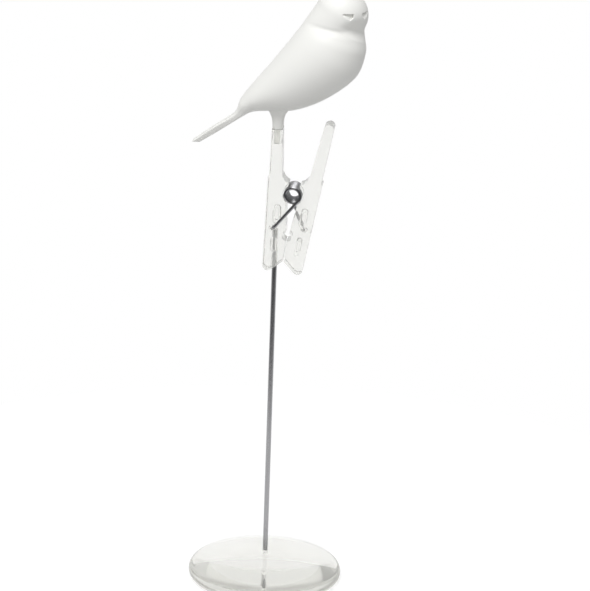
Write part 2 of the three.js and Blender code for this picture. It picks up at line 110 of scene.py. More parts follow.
# Torsion spring
WIRE_DIAMETER = 1.3
COIL_MEAN_RADIUS = 3
COIL_GAP = 0.42
ARM_OUT = 5.85
ARM_REACH = 14.3
ARM_BEND_RADIUS = 1.3
ARM_SLOT_DEPTH = 2.3
ARM_SLOT_LENGTH = 2.4

# The wire's eased ends: the way from the end, and the wire's thickness there, both for a radius of 1
WIRE_END = [(0, 0.55), (0.12, 0.85), (0.35, 1)]

# Bird
TENON_THICKNESS = 2.2
TENON_WIDTH = 4.8
TENON_DEPTH = 6
LEG_WIDTH = 7.6
LEG_SQUARE = 4
LEG_HEIGHT = 7.4
LEG_FLARE = 2.3
LEG_SIDE_FLARE = 0.5
LEG_FLARE_POWER = 3
LEG_SUNK = 1.5
HEAD_CENTRE = (23.1, 38)
HEAD_RADIUS = 10.19
HEAD_BACK_RADIUS = 10.6
HEAD_RISE = math.radians(66)
HEAD_SECTIONS = 7
HEAD_FIRST_ANGLE = math.radians(92)
HEAD_LAST_ANGLE = math.radians(4)
HEAD_TURN = math.radians(46)
CHIN_TURN = math.radians(50)
CHIN_DROP = math.radians(33)
CHIN_DEPTH = 1.4
CHIN_SOFT = 0.6
CHIN_FOOT = -3.4
CHIN_FOOT_SLOPE = 0.55
CHIN_FADE = 3
EYE_SPREAD = math.radians(24)
EYE_RISE = math.radians(6.5)

# Back point, belly point, half width and squareness of each section, from the tail's tip to the neck
BODY_SECTIONS = [
    ((-33.5, -14.7), (-30.3, -14.9), 2.5, 8),
    ((-25.2, -8.5), (-23.5, -10.4), 2.9, 8),
    ((-17.2, -2.6), (-14.9, -4.4), 3.6, 4),
    ((-14.9, 3.1), (-10.3, -1.8), 5.6, 2.2),
    ((-10.8, 8.9), (-3.9, -0.9), 8.3, 2),
    ((-4.5, 16.8), (6.7, 0), 11.2, 2),
    ((1.9, 25.2), (18.5, 5.1), 13.3, 2),
    ((5.25, 29.85), (29.4, 13.9), 13.9, 2),
    ((7, 32.2), (32.8, 23), 13, 2),
    ((7.95, 33.6), (32.5, 28.6), 11.5, 2),
    ((8.9, 35.2), (32.05, 31.6), 10, 2),
    ((10.15, 37.1), (32.1, 32.9), 10.1, 2),
]

# The squareness of an ellipse, and how much a section narrows below for each step that it is squarer
ELLIPSE = 2
TAIL_LEAN = 0.03

# An eye's groove on the head, u towards the face and v up: its outline from the rear of the brow, and the
# slope of the face that falls away from each edge
EYE_CORNERS = [(-2.3, 1.3), (2.2, 1.15), (2, -0.2), (0.5, -1.5), (-2.4, 0.4)]
EYE_SLOPES = [5, 5, 6, 0.75, 2.4]
EYE_DEPTH = 2.4
EYE_SOFT = 0.08
EYE_FALL_LIMIT = 3

# Around an eye: where the mesh is divided, how often, and which points the groove can press in
EYE_FINE_WITHIN = 3.6
EYE_FINE_CUTS = 2
EYE_PRESS_WITHIN = 5
EYE_PRESS_FACING = 0.1

# Facets
BASE_SIDES = 240
RIM_STEPS = 40
DOME_STEPS = 40
ROD_SIDES = 64
ARC_STEPS = 24
EDGE_STEPS = 5
WIRE_SIDES = 24
TURN_STEPS = 72
LOFT_STEPS = 216
LOFT_SIDES = 120
BIRD_VOXEL = 0.25
BIRD_SMOOTHING = 12
BIRD_SMOOTHING_SHARE = 0.5
DRAWN_WITHIN = 0.2
SHARP_ANGLE = math.radians(40)
WIRE_SHARP_ANGLE = math.radians(60)
NORMAL_WEIGHT = 90

# Finishes. Grains are the scales of the noise in the colour, roughness and relief; a relief is a strength and
# a height in metres
CLEAR_IOR = 1.49
CLEAR_TINTS = ((1, 1, 0.985), (0.99, 0.99, 0.965))
CLEAR_ABSORBS = (0.88, 0.88, 0.86, 1)
CLEAR_GRAINS = (90, 260, 140)
CLEAR_RELIEF = (0.08, 0.0004)
CLEAR_RELIEF_DETAIL = 1
ACRYLIC = {"clear": 1, "rough": (0.005, 0.03), "density": 26}
MOULDED = {"clear": 0.82, "rough": (0.03, 0.07), "density": 24}
WHITE_IOR = 1.46
WHITE_TINTS = ((0.86, 0.86, 0.832), (0.88, 0.88, 0.852))
WHITE_ROUGH = (0.42, 0.56)
WHITE_GRAINS = (60, 500, 1100)
WHITE_RELIEF = (0.03, 0.0001)
STEEL_GRAINS = (900, 1500, 3000)
STEEL_RELIEF = (0.1, 0.00005)
ROD_TINTS = ((0.33, 0.33, 0.34), (0.42, 0.42, 0.43))
ROD_ROUGH = (0.2, 0.34)
ROD_STRETCH = (1, 1, 0.03)
WIRE_TINTS = ((0.26, 0.26, 0.27), (0.36, 0.36, 0.37))
WIRE_ROUGH = (0.14, 0.26)
EVEN = (1, 1, 1)
NOISE_DETAIL = 3
NOISE_SPAN = (0.3, 0.7)

# Floor: how much of its white it gives by itself, seen openly and seen through the base, and a painted shadow
# under the rim behind the base, where the glow seen through the base drops in a ring
FLOOR_RADIUS = 230
FLOOR_SIDES = 96
FLOOR_DROP = 0.2
PAPER_GREY = (0.55, 0.55, 0.55, 1)
PURE_WHITE = (1, 1, 1, 1)
PAPER_GLOW = 0.58
UNDER_GLOW = 0.4
PAINTED_RIM_SHADOW_GLOW = 0.15
PAINTED_RIM_SHADOW_RADIUS = 28.2
PAINTED_RIM_SHADOW_WIDTH = 2.2
PAINTED_RIM_SHADOW_BEHIND = (16, 25)

# Light around matt pieces, and around what lies inside clear ones. A span is a part of an axis of the light's
# direction, over which one level passes into another
SKY = 0.41
FRONT_PANEL = 0.84
FRONT_SPAN = (-0.95, -0.7)
BACK_PANEL = 1.0
BACK_SPAN = (0.7, 0.95)
COVERED = 1.5

# Light that clear pieces show: darker sides, from left to right, a backdrop, from low to high, and what they
# mirror, from front to back
SIDE_SPAN = (-0.6, 0.2)
SIDE_LEVELS = (0.5, 0.8)
BACKDROP_START = (0.25, 0.6)
BACKDROP_SPAN = (-0.1, 0.2)
BACKDROP_LEVELS = (1, 0.92)
MIRROR_SPAN = (-0.6, 0.4)
MIRROR_LEVELS = (0.1, 0.9)

# Key lamp, in metres
KEY_WATTS = 8.3
KEY_SIZE = 0.7
KEY_AT = (-0.12, -0.5, 1.12)
KEY_AIM = (0, 0, 0.19)

# Camera of the photograph
CAMERA_AT = (100.64, -1045.17, 455)
CAMERA_AIM = (4.506, 46.348, 105.467)
CAMERA_ROLL = math.radians(2)
FOCAL_PIXELS = 2787
IMAGE_WIDTH = 590
SENSOR_WIDTH = 36

# Bounces of light, enough for clear pieces inside clear pieces
MAX_BOUNCES = 24
GLOSSY_BOUNCES = 16
TRANSMISSION_BOUNCES = 20

rod_foot = BASE_HEIGHT - BASE_SOCKET_DEPTH + SOLID_FIT
rod_top = rod_foot + ROD_LENGTH
coil_axis = Vector((COIL_FROM_ROD, 0, rod_top + COIL_ABOVE_ROD))
notch_radius = COIL_MEAN_RADIUS + WIRE_DIAMETER / 2 + SOLID_FIT
arm_side = LEVER_WIDTH / 2 + SOLID_FIT + WIRE_DIAMETER / 2
CLIP = Matrix.Translation(coil_axis) @ Matrix.Rotation(CLIP_LEAN, 4, "Y")
back_slope = (BACK_AT_COIL - BACK_AT_JAW) / JAW_REACH
tip_centre = HANDLE_REACH - HANDLE_TIP_THICKNESS / 2


def between(share, first, last):
    return first + (last - first) * share


def lever_back(v):
    return BACK_AT_COIL + back_slope * v


def handle_back(v):
    return lever_back(v) - GRIP_STEP


def handle_thickness(v):
    share = (v - HANDLE_ROOT_REACH) / (tip_centre - HANDLE_ROOT_REACH)
    return between(share, HANDLE_ROOT_THICKNESS, HANDLE_TIP_THICKNESS)


seat_thickness = handle_thickness(SEAT_REACH)
seat = CLIP @ Vector((seat_thickness / 2 - handle_back(SEAT_REACH), 0, SEAT_REACH))
BIRD = Matrix.Translation(seat + Vector((0, 0, SOLID_FIT)))


# Meshes

def mesh_object(name, points, faces):
    mesh = bpy.data.meshes.new(name)
    mesh.from_pydata([tuple(Vector(p) * MM) for p in points], [], faces)
    shaped = bmesh.new()
    shaped.from_mesh(mesh)
    bmesh.ops.recalc_face_normals(shaped, faces=shaped.faces)
    shaped.to_mesh(mesh)
    shaped.free()
    obj = bpy.data.objects.new(name, mesh)
    bpy.context.scene.collection.objects.link(obj)
    return obj


def bake(obj):
    graph = bpy.context.evaluated_depsgraph_get()
    made = bpy.data.meshes.new_from_object(obj.evaluated_get(graph))
    old = obj.data
    obj.modifiers.clear()
    obj.data = made
    bpy.data.meshes.remove(old)
    made.name = obj.name


def cut(obj, tools):
    for tool in tools:
        step = obj.modifiers.new("cut", "BOOLEAN")
        step.operation = "DIFFERENCE"
        step.solver = "EXACT"
        step.object = tool
        bake(obj)
        shape = tool.data
        bpy.data.objects.remove(tool)
        bpy.data.meshes.remove(shape)


def smooth(obj, angle):
    obj.data.shade_smooth()
    obj.data.set_sharp_from_angle(angle=angle)
    weighted = obj.modifiers.new("normals", "WEIGHTED_NORMAL")
    weighted.keep_sharp = True
    weighted.weight = NORMAL_WEIGHT


# A skin over rings with the same number of points, with both ends closed
def loft(rings):
    sides = len(rings[0])
    points = [point for ring in rings for point in ring]
    faces = []
    for i in range(len(rings) - 1):
        for j in range(sides):
            a = i * sides + j
            b = i * sides + (j + 1) % sides
            faces.append((a, b, b + sides, a + sides))
    faces.append(tuple(reversed(range(sides))))
    faces.append(tuple(range(len(points) - sides, len(points))))
    return points, faces


# A profile of radius and height turned about the Z axis; it starts and ends on the axis
def lathe(profile, sides):
    points = [(0, 0, profile[0][1])]
    faces = []
    for radius, height in profile[1:-1]:
        for j in range(sides):
            turn = 2 * math.pi * j / sides
            points.append((radius * math.cos(turn), radius * math.sin(turn), height))
    points.append((0, 0, profile[-1][1]))
    last = len(points) - 1
    final = last - sides
    for j in range(sides):
        after = (j + 1) % sides
        faces.append((0, 1 + after, 1 + j))
        faces.append((last, final + j, final + after))
        for i in range(len(profile) - 3):
            row = 1 + i * sides
            faces.append((row + j, row + after, row + sides + after, row + sides + j))
    return points, faces


def arc(centre, radius, first, last, steps=ARC_STEPS):
    turns = [between(i / steps, first, last) for i in range(steps + 1)]
    return [Vector((centre[0] + radius * math.cos(t), centre[1] + radius * math.sin(t))) for t in turns]


# Base and rod

def base_profile():
    rim_centre = BASE_DIAMETER / 2 - RIM_RADIUS
    rise = BASE_HEIGHT - RIM_RADIUS
    dome_radius = (rise**2 + rim_centre**2 - RIM_RADIUS**2) / (2 * (rise - RIM_RADIUS))
    dome_centre = BASE_HEIGHT - dome_radius
    dome_edge = math.asin(rim_centre / (dome_radius - RIM_RADIUS))
    socket = ROD_DIAMETER / 2 + SOCKET_FIT
    rim_end = math.pi / 2 - dome_edge
    rim = arc((rim_centre, RIM_RADIUS), RIM_RADIUS, -math.pi / 2, rim_end, RIM_STEPS)
    profile = [(0, 0), (rim_centre * UNDERSIDE_RING, 0)] + [tuple(p) for p in rim]
    dome_socket = math.asin(socket / dome_radius)
    for i in range(1, DOME_STEPS + 1):
        turn = between(i / DOME_STEPS, dome_edge, dome_socket)
        profile.append((dome_radius * math.sin(turn), dome_centre + dome_radius * math.cos(turn)))
    floor = rod_foot - SOCKET_FIT
    return profile + [(socket, floor), (0, floor)]


def rod_profile():
    radius = ROD_DIAMETER / 2
    narrow = radius - ROD_CHAMFER
    return [
        (0, rod_foot),
        (narrow, rod_foot),
        (radius, rod_foot + ROD_CHAMFER),
        (radius, rod_top - ROD_CHAMFER),
        (narrow, rod_top),
        (0, rod_top),
    ]


# Levers

def lever_outline():
    jaw = JAW_GAP / 2
    nose = (lever_back(NOSE_RADIUS - JAW_REACH) - NOSE_RADIUS, NOSE_RADIUS - JAW_REACH)
    outline = arc(nose, NOSE_RADIUS, -math.pi / 2 - MOUTH_ANGLE, 0)
    mouth = outline[0]
    outline.insert(0, Vector((jaw, mouth.y + (mouth.x - jaw) * math.tan(MOUTH_ANGLE))))
    step = GRIP_STEP_REACH - GRIP_STEP
    outline.append(Vector((lever_back(step), step)))
    outline.append(Vector((handle_back(GRIP_STEP_REACH), GRIP_STEP_REACH)))
    tip = HANDLE_TIP_THICKNESS / 2
    outline += arc((handle_back(tip_centre) - tip, tip_centre), tip, 0, math.pi)
    lip = Vector((notch_radius * math.cos(NOTCH_LIP_ANGLE), notch_radius * math.sin(NOTCH_LIP_ANGLE)))
    root = Vector((handle_back(HANDLE_ROOT_REACH) - HANDLE_ROOT_THICKNESS, HANDLE_ROOT_REACH))
    pull = Vector((root.x, (lip.y + root.y) / 2))
    top = lip + Vector((0, NOTCH_LIP_HEIGHT))
    for i in range(ARC_STEPS + 1):
        t = i / ARC_STEPS
        outline.append((1 - t) ** 2 * root + 2 * t * (1 - t) * pull + t**2 * top)
    outline += arc((0, 0), notch_radius, NOTCH_LIP_ANGLE, -NOTCH_LIP_ANGLE)
    slit_turn = math.acos(SLIT_WIDTH / 2 / LINE_NOTCH_RADIUS)
    grip_turn = -math.acos(jaw / LINE_NOTCH_RADIUS)
    outline += arc((0, -LINE_NOTCH_REACH), LINE_NOTCH_RADIUS, slit_turn, grip_turn)
    return outline


# An outline drawn in by a depth; it turns anticlockwise
def inset(outline, depth):
    moved = []
    for i, point in enumerate(outline):
        before = (point - outline[i - 1]).normalized()
        after = (outline[(i + 1) % len(outline)] - point).normalized()
        inward = Vector((-before.y - after.y, before.x + after.x))
        moved.append(point + inward * (depth / (1 + before.dot(after))))
    return moved


def in_clip(u, y, v):
    return CLIP @ Vector((u, y, v))


# A lever's body with rounded edges. side is 1 for the front lever and -1 for the rear one
def lever_body(name, side):
    outline = lever_outline()
    if side < 0:
        outline = [Vector((-p.x, p.y)) for p in reversed(outline)]
    edge = []
    for i in range(EDGE_STEPS + 1):
        turn = math.pi / 2 * i / EDGE_STEPS
        y = LEVER_EDGE * (1 - math.cos(turn)) - LEVER_WIDTH / 2
        edge.append((y, LEVER_EDGE * (1 - math.sin(turn))))
    edge += [(-y, depth) for y, depth in reversed(edge)]
    rings = [[in_clip(p.x, y, p.y) for p in inset(outline, depth)] for y, depth in edge]
    return mesh_object(name, *loft(rings))


def oblong(length, width):
    half = (length - width) / 2
    quarter = math.pi / 2
    ahead = arc((half, 0), width / 2, -quarter, quarter)
    return ahead + arc((-half, 0), width / 2, quarter, 3 * quarter)


# The tool for an oblong recess in a lever's side: chamfered at the mouth and rounded at the floor
def recess_tool(middle, lean, length, width, depth, facing):
    round_floor = min(RECESS_ROUND, width * RECESS_ROUND_SHARE)
    steps = [(-RECESS_OVER, RECESS_MOUTH + RECESS_OVER), (0, RECESS_MOUTH), (RECESS_MOUTH, 0)]
    for i in range(EDGE_STEPS + 1):
        turn = math.pi / 2 * i / EDGE_STEPS
        steps.append((depth - round_floor * (1 - math.sin(turn)), -round_floor * (1 - math.cos(turn))))
    along = Vector((math.cos(lean), math.sin(lean)))
    across = Vector((-along.y, along.x))
    rings = []
    for down, grow in steps:
        y = facing * (LEVER_WIDTH / 2 - down)
        shape = oblong(length + 2 * grow, width + 2 * grow)
        placed = [Vector(middle) + along * p.x + across * p.y for p in shape]
        rings.append([in_clip(p.x, y, p.y) for p in placed])
    return mesh_object("tool", *loft(rings))


def lever_recesses(side):
    tools = []
    lean = math.pi / 2 - side * math.atan(back_slope)
    for pocket in (UPPER_POCKET, LOWER_POCKET):
        middle = (side * pocket["out"], -pocket["reach"])
        for facing in (-1, 1):
            size = (pocket["length"], pocket["width"], POCKET_DEPTH)
            tools.append(recess_tool(middle, lean, *size, facing))
    slot_width = WIRE_DIAMETER + 2 * SOLID_FIT
    middle = (side * (ARM_OUT + (ARM_SLOT_LENGTH - slot_width) / 2), -ARM_REACH)
    tools.append(recess_tool(middle, 0, ARM_SLOT_LENGTH, slot_width, ARM_SLOT_DEPTH, side))
    return tools


def block(low, high):
    xs, ys, zs = zip(low, high)
    corners = [(x, y, z) for x in xs for y in ys for z in zs]
    faces = [(0, 1, 3, 2), (4, 6, 7, 5), (0, 4, 5, 1), (2, 3, 7, 6), (0, 2, 6, 4), (1, 5, 7, 3)]
    return corners, faces


def rear_lever():
    lever = lever_body("lever_rear", -1)
    radius = ROD_DIAMETER / 2 + BORE_FIT
    foot = coil_axis.z - JAW_REACH - BORE_OVER
    top = rod_top + BORE_FIT
    bore = mesh_object("tool", *lathe([(0, foot), (radius, foot), (radius, top), (0, top)], ROD_SIDES))
    low = (seat.x - BACK_AT_COIL, -LEVER_WIDTH, seat.z)
    high = (seat.x + BACK_AT_COIL, LEVER_WIDTH, seat.z + HANDLE_REACH)
    crop = mesh_object("tool", *block(low, high))
    half = (TENON_THICKNESS / 2 + MORTISE_FIT, TENON_WIDTH / 2 + MORTISE_FIT)
    low = (seat.x - half[0], -half[1], seat.z + SOLID_FIT - TENON_DEPTH - MORTISE_FIT)
    high = (seat.x + half[0], half[1], seat.z + MORTISE_OVER)
    mortise = mesh_object("tool", *block(low, high))
    cut(lever, lever_recesses(-1) + [crop, bore, mortise])
    return lever


def front_lever():
    lever = lever_body("lever_front", 1)
    cut(lever, lever_recesses(1))
    return lever


# Torsion spring

def coil_point(turn, across):
    return Vector((COIL_MEAN_RADIUS * math.cos(turn), across, COIL_MEAN_RADIUS * math.sin(turn)))


def spring_arm(side, turn):
    end = Vector((side * ARM_OUT, side * (LEVER_WIDTH / 2 - ARM_SLOT_DEPTH + SOLID_FIT), -ARM_REACH))
    corner = Vector((side * ARM_OUT, side * arm_side, -ARM_REACH))
    coil = coil_point(turn, side * arm_side)
    inward = Vector((0, -side, 0))
    along = (coil - corner).normalized()
    centre = corner + (inward + along) * ARM_BEND_RADIUS
    points = [end]
    for i in range(ARC_STEPS + 1):
        bend = math.pi / 2 * i / ARC_STEPS
        way = along * math.cos(bend) + inward * math.sin(bend)
        points.append(centre - way * ARM_BEND_RADIUS)
    points.append(points[-1].lerp(coil, 0.5))
    return points


def spring_path():
    touch = math.acos(COIL_MEAN_RADIUS / math.hypot(ARM_OUT, ARM_REACH))
    leave = math.atan2(-ARM_REACH, -ARM_OUT) + touch
    join = math.pi - leave
    part_turn = (join - leave) / (2 * math.pi)
    turns = math.floor(2 * arm_side / (WIRE_DIAMETER + COIL_GAP) - part_turn) + part_turn
    steps = round(turns * TURN_STEPS)
    coil = []
    for i in range(steps + 1):
        share = i / steps
        coil.append(coil_point(join - 2 * math.pi * turns * share, between(share, arm_side, -arm_side)))
    return spring_arm(1, join) + coil + spring_arm(-1, leave)[::-1]


# A round wire along a path, its frame carried along without twist and its ends eased
def wire(path, radius):
    first = (path[1] - path[0]).normalized() * radius
    last = (path[-2] - path[-1]).normalized() * radius
    stations = [(path[0] + first * at, radius * share) for at, share in WIRE_END]
    stations += [(point, radius) for point in path[1:-1]]
    stations += [(path[-1] + last * at, radius * share) for at, share in reversed(WIRE_END)]
    side = Vector((1, 0, 0))
    rings = []
    for i, (point, thick) in enumerate(stations):
        ahead = stations[min(i + 1, len(stations) - 1)][0]
        along = (ahead - stations[max(i - 1, 0)][0]).normalized()
        side = (side - along * side.dot(along)).normalized()
        across = along.cross(side)
        ring = []
        for j in range(WIRE_SIDES):
            turn = 2 * math.pi * j / WIRE_SIDES
            ring.append(point + (side * math.cos(turn) + across * math.sin(turn)) * thick)
        rings.append(ring)
    return loft(rings)


# Bird

def catmull_rom(points, places):
    padded = np.vstack([2 * points[0] - points[1], points, 2 * points[-1] - points[-2]])
    start = np.minimum(places.astype(int), len(points) - 2)
    t = (places - start)[:, None]
    p, q, r, s = (padded[start + k] for k in range(4))
    bend = 2 * p - 5 * q + 4 * r - s
    twist = 3 * q - p - 3 * r + s
    return 0.5 * (2 * q + (r - p) * t + bend * t**2 + twist * t**3)


def bird_sections():
    up = Vector((math.cos(HEAD_RISE), math.sin(HEAD_RISE)))
    front = Vector((up.y, -up.x))
    sections = list(BODY_SECTIONS)
    for i in range(HEAD_SECTIONS):
        turn = between(i / (HEAD_SECTIONS - 1), HEAD_FIRST_ANGLE, HEAD_LAST_ANGLE)
        middle = Vector(HEAD_CENTRE) + up * (HEAD_RADIUS * math.cos(turn))
        back = middle - front * (HEAD_BACK_RADIUS * math.sin(turn))
        belly = middle + front * (HEAD_RADIUS * math.sin(turn))
        sections.append((tuple(back), tuple(belly), HEAD_RADIUS * math.sin(turn), ELLIPSE))
    return sections


def signed_power(values, power):
    return np.sign(values) * np.abs(values) ** power


def bird_skin():
    sections = bird_sections()
    places = np.linspace(0, len(sections) - 1, LOFT_STEPS + 1)
    table = np.array([(*back, *belly, half, square) for back, belly, half, square in sections], float)
    turns = np.linspace(0, 2 * math.pi, LOFT_SIDES, endpoint=False)
    rings = []
    for row in catmull_rom(table, places):
        back, belly, half, square = row[:2], row[2:4], row[4], row[5]
        lift = signed_power(np.cos(turns), 2 / square)
        middle = (back + belly) / 2
        reach = (back - belly) / 2
        x = middle[0] + reach[0] * lift
        lean = TAIL_LEAN * (square - ELLIPSE) * (1 - lift)
        y = -half * signed_power(np.sin(turns), 2 / square) * (1 - lean)
        z = LEG_HEIGHT + middle[1] + reach[1] * lift
        rings.append([Vector(p) for p in zip(x, y, z)])
    return loft(rings)


def bird_leg():
    turns = np.linspace(0, 2 * math.pi, ROD_SIDES, endpoint=False)
    across = signed_power(np.cos(turns), 2 / LEG_SQUARE)
    along = signed_power(np.sin(turns), 2 / LEG_SQUARE)
    rings = []
    for i in range(ARC_STEPS + 1):
        z = (LEG_HEIGHT + LEG_SUNK) * i / ARC_STEPS
        swell = (z / LEG_HEIGHT) ** LEG_FLARE_POWER
        half = (seat_thickness / 2 + LEG_FLARE * swell, LEG_WIDTH / 2 + LEG_SIDE_FLARE * swell)
        drop = SOLID_FIT - SEAT_GAP if i == 0 else 0
        rings.append([Vector((half[0] * a, half[1] * b, z - drop)) for a, b in zip(across, along)])
    return loft(rings)


head_centre = Vector((HEAD_CENTRE[0], 0, LEG_HEIGHT + HEAD_CENTRE[1]))


def head_way(turn, rise):
    level = math.cos(rise)
    return Vector((level * math.cos(turn), level * math.sin(turn), math.sin(rise)))


# How deep the eye's groove is at places on the head around it
def eye_depth(u, v):
    falls = []
    for i, slope in enumerate(EYE_SLOPES):
        one = np.array(EYE_CORNERS[i])
        along = np.array(EYE_CORNERS[(i + 1) % len(EYE_CORNERS)]) - one
        along = along / np.linalg.norm(along)
        falls.append(slope * (along[1] * (u - one[0]) - along[0] * (v - one[1])))
    falls = np.clip(np.stack(falls), -EYE_FALL_LIMIT, EYE_FALL_LIMIT)
    least = -EYE_SOFT * np.log(np.exp(-falls / EYE_SOFT).sum(axis=0))
    return np.minimum(EYE_SOFT * np.log1p(np.exp(least / EYE_SOFT)), EYE_DEPTH)


# Draws points that lie close to a skin onto it
def draw_onto(shaped, points, faces):
    skin = BVHTree.FromPolygons([p * MM for p in points], faces)
    for vert in shaped.verts:
        nearest, _, _, distance = skin.find_nearest(vert.co, 2 * DRAWN_WITHIN * MM)
        if nearest:
            vert.co = vert.co.lerp(nearest, min(1, 2 - distance / (DRAWN_WITHIN * MM)))


# Flattens the chin, and lets go towards the neck's crease
def press_chin(shaped):
    chin = head_way(-CHIN_TURN, -CHIN_DROP)
    for vert in shaped.verts:
        spot = vert.co / MM - head_centre
        over = (spot.dot(chin) - HEAD_RADIUS + CHIN_DEPTH) / CHIN_SOFT
        press = CHIN_SOFT * math.log1p(math.exp(over))
        hold = (spot.z + CHIN_FOOT_SLOPE * spot.x - CHIN_FOOT) / CHIN_FADE + 0.5
        hold = min(1, max(0, hold))
        vert.co -= chin * (press * hold**2 * (3 - 2 * hold) * MM)


def press_eyes(shaped):
    for side in (-1, 1):
        way = head_way(-HEAD_TURN + side * EYE_SPREAD, EYE_RISE)
        spot = head_centre + way * HEAD_RADIUS
        ahead = Vector((0, 0, 1)).cross(way).normalized() * -side
        upright = Vector((0, 0, 1)) - way * way.z
        upright.normalize()
        near = []
        for edge in shaped.edges:
            if all((vert.co / MM - spot).length < EYE_FINE_WITHIN for vert in edge.verts):
                near.append(edge)
        bmesh.ops.subdivide_edges(shaped, edges=near, cuts=EYE_FINE_CUTS, use_grid_fill=True)
        verts = [vert for vert in shaped.verts if (vert.co / MM - spot).length < EYE_PRESS_WITHIN]
        verts = [vert for vert in verts if vert.normal.dot(way) > EYE_PRESS_FACING]
        offsets = [vert.co / MM - spot for vert in verts]
        u = np.array([offset.dot(ahead) for offset in offsets])
        v = np.array([offset.dot(upright) for offset in offsets])
        for vert, depth in zip(verts, eye_depth(u, v)):
            vert.co -= way * float(depth) * MM


def bird_whole():
    points = []
    faces = []
    half = (TENON_THICKNESS / 2, TENON_WIDTH / 2)
    tenon = block((-half[0], -half[1], -TENON_DEPTH), (half[0], half[1], LEG_HEIGHT / 2))
    for shell_points, shell_faces in (bird_skin(), bird_leg(), tenon):
        faces += [tuple(len(points) + i for i in face) for face in shell_faces]
        points += list(shell_points)
    bird = mesh_object("bird", points, faces)
    joined = bird.modifiers.new("join", "REMESH")
    joined.mode = "VOXEL"
    joined.voxel_size = BIRD_VOXEL * MM
    eased = bird.modifiers.new("ease", "SMOOTH")
    eased.factor = BIRD_SMOOTHING_SHARE
    eased.iterations = BIRD_SMOOTHING
    bake(bird)
    shaped = bmesh.new()
    shaped.from_mesh(bird.data)
    draw_onto(shaped, *bird_skin())
    press_chin(shaped)
    shaped.normal_update()
    press_eyes(shaped)
    shaped.normal_update()
    return bird, shaped


# One side of the bird, closed at the parting plane. Its skin keeps the whole bird's normals, so that no seam
# shows
def bird_half(name, whole, skin, side):
    shaped = whole.copy()
    everything = list(shaped.verts) + list(shaped.edges) + list(shaped.faces)
    at = Vector((0, side * PARTING / 2 * MM, 0))
    away = (0, -side, 0)
    sliced = bmesh.ops.bisect_plane(shaped, geom=everything, plane_co=at, plane_no=away, clear_outer=True)
    rim = [g for g in sliced["geom_cut"] if isinstance(g, bmesh.types.BMEdge)]
    caps = bmesh.ops.holes_fill(shaped, edges=rim, sides=0)["faces"]
    for face in caps:
        face.material_index = 1
    bmesh.ops.recalc_face_normals(shaped, faces=shaped.faces)
    mesh = bpy.data.meshes.new(name)
    shaped.to_mesh(mesh)
    shaped.free()
    mesh.shade_smooth()
    normals = [skin_normal(whole, skin, vert.co) for vert in mesh.vertices]
    corners = []
    for face in mesh.polygons:
        capped = face.material_index == 1
        corners += [face.normal.copy() if capped else normals[i] for i in face.vertices]
        face.material_index = 0
    mesh.normals_split_custom_set(corners)
    mesh.transform(Matrix.Translation(BIRD.translation * MM))
    half = bpy.data.objects.new(name, mesh)
    bpy.context.scene.collection.objects.link(half)
    return half


def skin_normal(whole, skin, spot):
    nearest, _, index, _ = skin.find_nearest(spot)
    corners = whole.faces[index].verts
    shares = poly_3d_calc([v.co for v in corners], nearest)
    return sum((v.normal * share for v, share in zip(corners, shares)), Vector()).normalized()


def bird_halves():
    bird, whole = bird_whole()
    whole.faces.ensure_lookup_table()
    skin = BVHTree.FromBMesh(whole)
    sides = (("bird_right", -1), ("bird_left", 1))
    halves = [bird_half(name, whole, skin, side) for name, side in sides]
    whole.free()
    old = bird.data
    bpy.data.objects.remove(bird)
    bpy.data.meshes.remove(old)
    return halves


# Nodes

def add_node(tree, kind, settings=None, inputs=None):
    node = tree.nodes.new(kind)
    for key, value in (settings or {}).items():
        setattr(node, key, value)
    for key, value in (inputs or {}).items():
        node.inputs[key].default_value = value
    return node


# Gives a socket a number, or the value of another node's socket
def feed(tree, socket, value):
    if isinstance(value, (int, float)):
        socket.default_value = value
    else:
        tree.links.new(value, socket)


def calc(tree, operation, *values, clamp=False):
    node = add_node(tree, "ShaderNodeMath", {"operation": operation, "use_clamp": clamp})
    for socket, value in zip(node.inputs, values):
        feed(tree, socket, value)
    return node.outputs[0]


def mixed(tree, share, one, other):
    node = add_node(tree, "ShaderNodeMix", {"data_type": "FLOAT"})
    for socket, value in zip((0, 2, 3), (share, one, other)):
        feed(tree, node.inputs[socket], value)
    return node.outputs[0]


# A value's passage through a span, from one level to another
def ramp(tree, value, span, levels=(0, 1), smooth_ends=True):
    kind = "SMOOTHSTEP" if smooth_ends else "LINEAR"
    node = add_node(tree, "ShaderNodeMapRange", {"interpolation_type": kind})
    for socket, level in zip(node.inputs, (value, *span, *levels)):
        feed(tree, socket, level)
    return node.outputs[0]


# Materials

# Noise in the object's own space, stretched by a factor along each axis
def grain(tree, scale, stretch, detail=NOISE_DETAIL):
    place = add_node(tree, "ShaderNodeTexCoord")
    mapping = add_node(tree, "ShaderNodeMapping", inputs={"Scale": stretch})
    noise = add_node(tree, "ShaderNodeTexNoise", inputs={"Scale": scale, "Detail": detail})
    tree.links.new(place.outputs["Object"], mapping.inputs["Vector"])
    tree.links.new(mapping.outputs[0], noise.inputs["Vector"])
    return noise.outputs[0]


def tinted(tree, share, tints):
    one, other = [(*tint, 1) for tint in tints]
    node = add_node(tree, "ShaderNodeMix", {"data_type": "RGBA"}, {6: one, 7: other})
    tree.links.new(share, node.inputs[0])
    return node.outputs[2]


